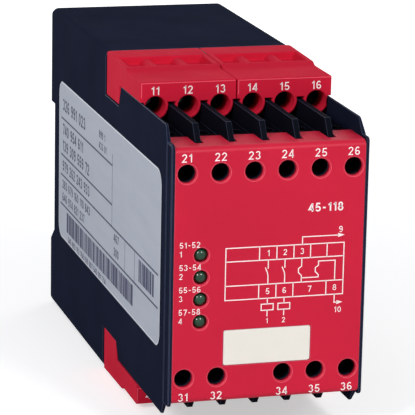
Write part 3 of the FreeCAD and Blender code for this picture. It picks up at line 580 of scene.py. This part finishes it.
def print_feedback(art):
    """The feedback loop on the diagram's right and the two lines out of it, with arrows."""
    left = [(LOOP_LEFT + shift, v) for shift, v in LOOP_DIP]
    right = [(LOOP_RIGHT + shift, v) for shift, v in LOOP_DIP[::-1]]
    art.stroke(LINE, (LOOP_LEFT, UPPER_ROW[0]), *left, (LOOP_LEFT, LOWER_ROW[1]))
    foot = [(LOOP_LEFT, LOOP_FOOT), (LOOP_RIGHT, LOOP_FOOT)]
    head = [(LOOP_RIGHT, LOOP_HEAD), (LOOP_END, LOOP_HEAD), (LOOP_END, LOWER_ROW[1])]
    art.stroke(LINE, *foot, *right, *head)
    for start, v, end, root, text, place, cap in OUT_LINES:
        art.stroke(LINE, start, (start[0], v), (end, v))
        art.field([(root, v - ARROW_HALF), (ARROW_TIP, v), (root, v + ARROW_HALF)])
        art.number(text, *place, cap)


def print_front(white):
    art = Flat("front_print", (0, FRONT, MID), RIGHT, UP, white)
    print_terminals(art)
    print_cells(art)
    print_contacts(art)
    print_feedback(art)
    art.lay()


# The painted highlight lines along a block's front edges: their width, their inset, and their two
# ends below and above the numbers.
SHINE_WIDTH = 0.14
SHINE_INSET = 0.3
SHINE_DROP, SHINE_RISE = 1.5, 1.7


def print_blocks(white, painted_highlight):
    """The rear terminals' numbers, and a painted highlight line along each block's left and top
    front edges.
    """
    for name, (first, v, cap) in REAR_ROWS.items():
        art = Flat(f"block_print_{name}", (0, BLOCK_FRONT, MID), RIGHT, UP, white)
        for i, u in enumerate(POSITIONS):
            art.number(str(first + i), u + NUMBER_SHIFT, v, cap)
        art.lay()
        # Painted highlight lines along each block's left and top front edges.
        shine = Flat(f"block_painted_highlight_{name}", (0, BLOCK_FRONT, MID), RIGHT, UP, painted_highlight)
        for end in ("left", "right"):
            low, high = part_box(f"rear_block_{name}_{end}")
            left, right = low.x / MM + SHINE_INSET, high.x / MM - SHINE_INSET
            foot, head = v - SHINE_DROP, v + SHINE_RISE
            shine.stroke(SHINE_WIDTH, (left, foot), (left, head), (right, head))
        shine.lay()


# ---------------------------------------------------------------- rating label
# Distances behind the cover's face, and levels from the middle of the relay's height.
LABEL_INK = 0.008
THIN_RULE, THICK_RULE = 0.26, 0.45
# Level rules: rear end, front end, level.
RULES = (
    (105.0, 51.5, 12.85),
    (105.2, 51.5, 3.45),
    (105.4, 9.0, -1.75),
    (105.6, 9.0, -9.3),
)
# Upright rules: place, head, foot.
COLUMNS = ((51.5, 15.6, -1.75), (38.8, -1.75, -9.3), (29.85, -1.75, -9.3))
# Fields of upright bars: rear end, front end, foot, head.
BAR_FIELDS = ((98.5, 29.5, -15.3, -10.3), (26.0, 12.3, -7.9, -2.7))
BAR_WIDTHS = (0.5, 0.9, 1.5, 2.0)
BAR_GAPS = (0.3, 0.35, 0.6)
LAST_BAR = 1.6
# Every fourth figure of a line is left out.
TEXT_WORD = 4
TEXT_WEIGHT = 0.2
TEXT_STRETCH = 1.2
# Lines of figures: level, start, how many, height.
TEXT_LINES = (
    (16.5, 103.5, 11, 2.9),
    (10.2, 103.5, 11, 2.7),
    (6.1, 103.5, 14, 2.7),
    (0.9, 103.5, 15, 2.5),
    (-3.9, 103.5, 19, 2.1),
    (-7.2, 103.5, 16, 2.1),
    (17.6, 65.0, 5, 1.7),
    (14.9, 65.0, 6, 1.7),
    (-3.7, 49.5, 3, 2.0),
    (-7.1, 49.5, 4, 2.0),
    (-16.9, 97.0, 36, 1.5),
)
SEED = 11
RIM_INSET = 0.2
RIM_TURN = 3.3
RIM_WIDTH = 0.28


def print_label(dark):
    """The rating label's ruled fields, with bars and plain numbers where its text would be."""
    face = (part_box("rating_label")[0].x, FRONT, MID)
    art = Flat("label_print", face, FORTH, UP, dark, LABEL_INK)
    for rear, front, v in RULES:
        art.stroke(THICK_RULE, (-rear, v), (-front, v))
    for behind, head, foot in COLUMNS:
        art.stroke(THIN_RULE, (-behind, head), (-behind, foot))
    rng = random.Random(SEED)
    for start, end, foot, head in BAR_FIELDS:
        u = -start
        while u < -end - LAST_BAR:
            width = rng.choice(BAR_WIDTHS)
            art.bar(u, u + width, foot, head)
            u += width + rng.choice(BAR_GAPS)
    last = TEXT_WORD - 1
    for v, start, count, cap in TEXT_LINES:
        figures = [" " if i % TEXT_WORD == last else str(rng.randrange(10)) for i in range(count)]
        art.number("".join(figures), -start, v, cap, TEXT_WEIGHT, 0, TEXT_STRETCH)
    art.lay()


def print_rim(pale):
    """The pale line with round corners along the rating label's border, a painted highlight on
    the label's edge.
    """
    low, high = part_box("rating_label")
    rim = Flat("label_rim", (low.x, FRONT, MID), FORTH, UP, pale, LABEL_INK)
    rear, front = -(high.y - FRONT) / MM + RIM_INSET, -(low.y - FRONT) / MM - RIM_INSET
    foot, head = (low.z - MID) / MM + RIM_INSET, (high.z - MID) / MM - RIM_INSET
    path = []
    for u, v, start in (
        (front - RIM_TURN, head - RIM_TURN, 0),
        (rear + RIM_TURN, head - RIM_TURN, 90),
        (rear + RIM_TURN, foot + RIM_TURN, 180),
        (front - RIM_TURN, foot + RIM_TURN, 270),
    ):
        path += arc(u, v, RIM_TURN, RIM_TURN, start, start + 90, 8)
    rim.stroke(RIM_WIDTH, *path, path[0])
    rim.lay()


# ---------------------------------------------------------------- inner covers
# Half a bay's and half the inside's width, and the rib that runs round a plate inside its edge.
BAY_HALF = 3.7
INNER_HALF = 20.9
RIB = 0.5
RIB_INSET = 0.3
# Halves of the plates' thicknesses.
BAY_PLATE = 0.2
GUARD_PLATE = 0.3
WEB_PLATE = 0.08
# How far a bay's cover lies off the carrier, starts before the cages and ends before the strips.
BAY_AWAY = 0.35
BAY_FRONT, BAY_REAR = 0.4, 0.2
# The lamps' guard keeps clear of the carrier's front, of the board, and of the board's sides.
GUARD_GAP = 0.2
GUARD_INSET = 0.3
# A web's depth, how far it goes past the blocks' rear, and its inset above and below.
WEB_DEPTH = 6.0
WEB_PAST = 0.12
WEB_INSET = 0.2


def ribbed(cover, left, right, front, rear):
    cover.bar(left, right, front, rear)
    edges = (left + RIB_INSET, right - RIB_INSET, front + RIB_INSET, rear - RIB_INSET)
    cover.frame(RIB, *edges)


def cover_bays(plastic):
    """Thin covers over the inner ends of the front carriers' bays."""
    for side, end, away in (("upper", 0, -BAY_AWAY), ("lower", 1, BAY_AWAY)):
        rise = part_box(f"front_carrier_{side}")[end].z + away * MM
        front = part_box(f"clamp_cages_front_{side}")[0].y / MM - BAY_FRONT
        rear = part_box(f"contact_strips_front_{side}")[0].y / MM - BAY_REAR
        cover = Flat(f"bay_cover_{side}", (0, 0, rise), RIGHT, BACK, plastic, BAY_PLATE)
        for u in POSITIONS:
            left, right = max(u - BAY_HALF, -INNER_HALF), min(u + BAY_HALF, INNER_HALF)
            ribbed(cover, left, right, front, rear)
        cover.lay()


def guard_lamps(plastic):
    """A plate between the lamps and the upper carrier, behind the cover."""
    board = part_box("display_board")
    rise = (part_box("led_1")[1].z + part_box("front_carrier_upper")[0].z) / 2
    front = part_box("front_carrier_upper")[0].y / MM + GUARD_GAP
    rear, half = board[0].y / MM - GUARD_GAP, board[1].x / MM - GUARD_INSET
    guard = Flat("lamp_guard", (0, 0, rise), RIGHT, BACK, plastic, GUARD_PLATE)
    ribbed(guard, -half, half, front, rear)
    guard.lay()


def part_blocks(plastic):
    """A web in the gap between the left and right rear blocks."""
    for side in ("upper", "lower"):
        low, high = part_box(f"rear_block_{side}_left")
        web = Flat(f"block_web_{side}", (0, 0, 0), BACK, UP, plastic, WEB_PLATE)
        rear = high.y / MM + WEB_PAST
        web.bar(rear - WEB_DEPTH, rear, low.z / MM + WEB_INSET, high.z / MM - WEB_INSET)
        web.lay()


# ---------------------------------------------------------------- studio
# Each lamp's place, the point it is turned to, its width and height, and its watts.
LAMPS = {
    "left_lamp": ((-0.66, -0.56, 0.54), (0, 0, 0.04), (0.24, 0.24), 4.45),
    "right_lamp": ((0.28, -0.77, 0.61), (0, 0, 0.04), (0.24, 0.24), 3.6),
    "rear_right": ((0.75, 0.75, 0.25), (0, 0.02, 0.04), (0.5, 0.4), 3.0),
    "rear_left": ((-0.35, 1.0, 0.2), (0, 0.05, 0.04), (0.5, 0.4), 2.0),
}
FILL_COLOR = (0.94, 0.96, 1.0, 1)
FILL_STRENGTH = 0.3
WHITE = (1, 1, 1, 1)
PAPER = (0.8, 0.8, 0.8, 1)
PAPER_ROUGH = 0.9
FLOOR_HALF = 6.0
FLOOR_DROP = 0.0002
# The floor's own white, as the camera sees it, near the relay and far from it.
FLOOR_WHITE = (0.52, 1.0)
FLOOR_REACH = (0.1, 0.9)


def make_lamps():
    for name, (place, aim, size, watts) in LAMPS.items():
        data = bpy.data.lights.new(name, "AREA")
        data.shape = "RECTANGLE"
        data.size, data.size_y = size
        data.energy = watts
        lamp = add_object(name, data)
        lamp.location = place
        lamp.rotation_euler = (Vector(aim) - Vector(place)).to_track_quat("-Z", "Y").to_euler()


def make_world():
    """A faint fill on the relay, and white where the background is seen or mirrored."""
    scene = bpy.context.scene
    scene.view_settings.view_transform = "Standard"
    world = bpy.data.worlds.new("studio")
    scene.world = world
    world.use_nodes = True
    tree = world.node_tree
    fill = tree.nodes["Background"]
    fill.inputs["Color"].default_value = FILL_COLOR
    fill.inputs["Strength"].default_value = FILL_STRENGTH
    white = tree.nodes.new("ShaderNodeBackground")
    white.inputs["Color"].default_value = WHITE
    rays = tree.nodes.new("ShaderNodeLightPath")
    seen = rays.outputs["Is Camera Ray"]
    for kind in ("Is Glossy Ray", "Is Transmission Ray"):
        either = tree.nodes.new("ShaderNodeMath")
        either.operation = "MAXIMUM"
        tree.links.new(seen, either.inputs[0])
        tree.links.new(rays.outputs[kind], either.inputs[1])
        seen = either.outputs["Value"]
    mix = tree.nodes.new("ShaderNodeMixShader")
    tree.links.new(seen, mix.inputs["Fac"])
    tree.links.new(fill.outputs["Background"], mix.inputs[1])
    tree.links.new(white.outputs["Background"], mix.inputs[2])
    tree.links.new(mix.outputs["Shader"], tree.nodes["World Output"].inputs["Surface"])


def make_floor():
    """Pale paper that keeps the relay's shadow and is white farther out."""
    mesh = bpy.data.meshes.new("floor")
    corners = [(-1, -1), (1, -1), (1, 1), (-1, 1)]
    mesh.from_pydata([(x * FLOOR_HALF, y * FLOOR_HALF, 0) for x, y in corners], [], [range(4)])
    floor = add_object("floor", mesh)
    paper = Material("paper", PAPER, PAPER_ROUGH, Specular_IOR_Level=0.0)
    paper.mottle(3, 0.01)
    white = paper.node("ShaderNodeEmission")
    white.inputs["Color"].default_value = WHITE
    seen = paper.node("ShaderNodeLightPath").outputs["Is Camera Ray"]
    reach = paper.node("ShaderNodeVectorMath", operation="LENGTH")
    paper.link(paper.place, reach.inputs[0])
    strength = paper.spread(reach.outputs["Value"], *FLOOR_WHITE, *FLOOR_REACH)
    paper.link(paper.math("MULTIPLY", seen, strength), white.inputs["Strength"])
    total = paper.node("ShaderNodeAddShader")
    paper.link(paper.shader.outputs["BSDF"], total.inputs[0])
    paper.link(white.outputs["Emission"], total.inputs[1])
    paper.link(total.outputs["Shader"], paper.tree.nodes["Material Output"].inputs["Surface"])
    mesh.materials.append(paper.data)
    floor.location.z = -FLOOR_DROP


# The camera's place in metres, its turn in degrees, and its lens and sensor in millimetres.
CAMERA_PLACE = (-0.16478, -0.58217, 0.19317)
CAMERA_TURN = (75.646, -1.129, -15.774)
LENS = 227.6
SENSOR = 36


def make_camera():
    data = bpy.data.cameras.new("camera")
    data.lens = LENS
    data.sensor_width = SENSOR
    camera = add_object("camera", data)
    camera.location = CAMERA_PLACE
    camera.rotation_euler = [math.radians(angle) for angle in CAMERA_TURN]
    bpy.context.scene.camera = camera


# ---------------------------------------------------------------- the scene
make_camera()
make_lamps()
make_world()
make_floor()
make_housing_materials()
make_inner_materials()
# Painted highlights for the rounded edges.
red_painted_highlight, black_painted_highlight, pale_painted_highlight = make_edge_materials()
soften_all(red_painted_highlight, black_painted_highlight, pale_painted_highlight)
seat_spring()
white_ink = ink_material("white_ink", srgb(255, 240, 240), 0.6)
dark_ink = ink_material("dark_ink", srgb(36, 40, 78), 0.6)
# A painted highlight for the rating label's border.
painted_rim_highlight = ink_material("painted_rim_highlight", srgb(212, 217, 226), 0.5)
print_front(white_ink)
print_blocks(white_ink, red_painted_highlight)
print_label(dark_ink)
print_rim(painted_rim_highlight)
# The plates inside wear the plain black that the frame brings for its carriers.
plain_black = bpy.data.materials["carrier_black"]
cover_bays(plain_black)
guard_lamps(plain_black)
part_blocks(plain_black)
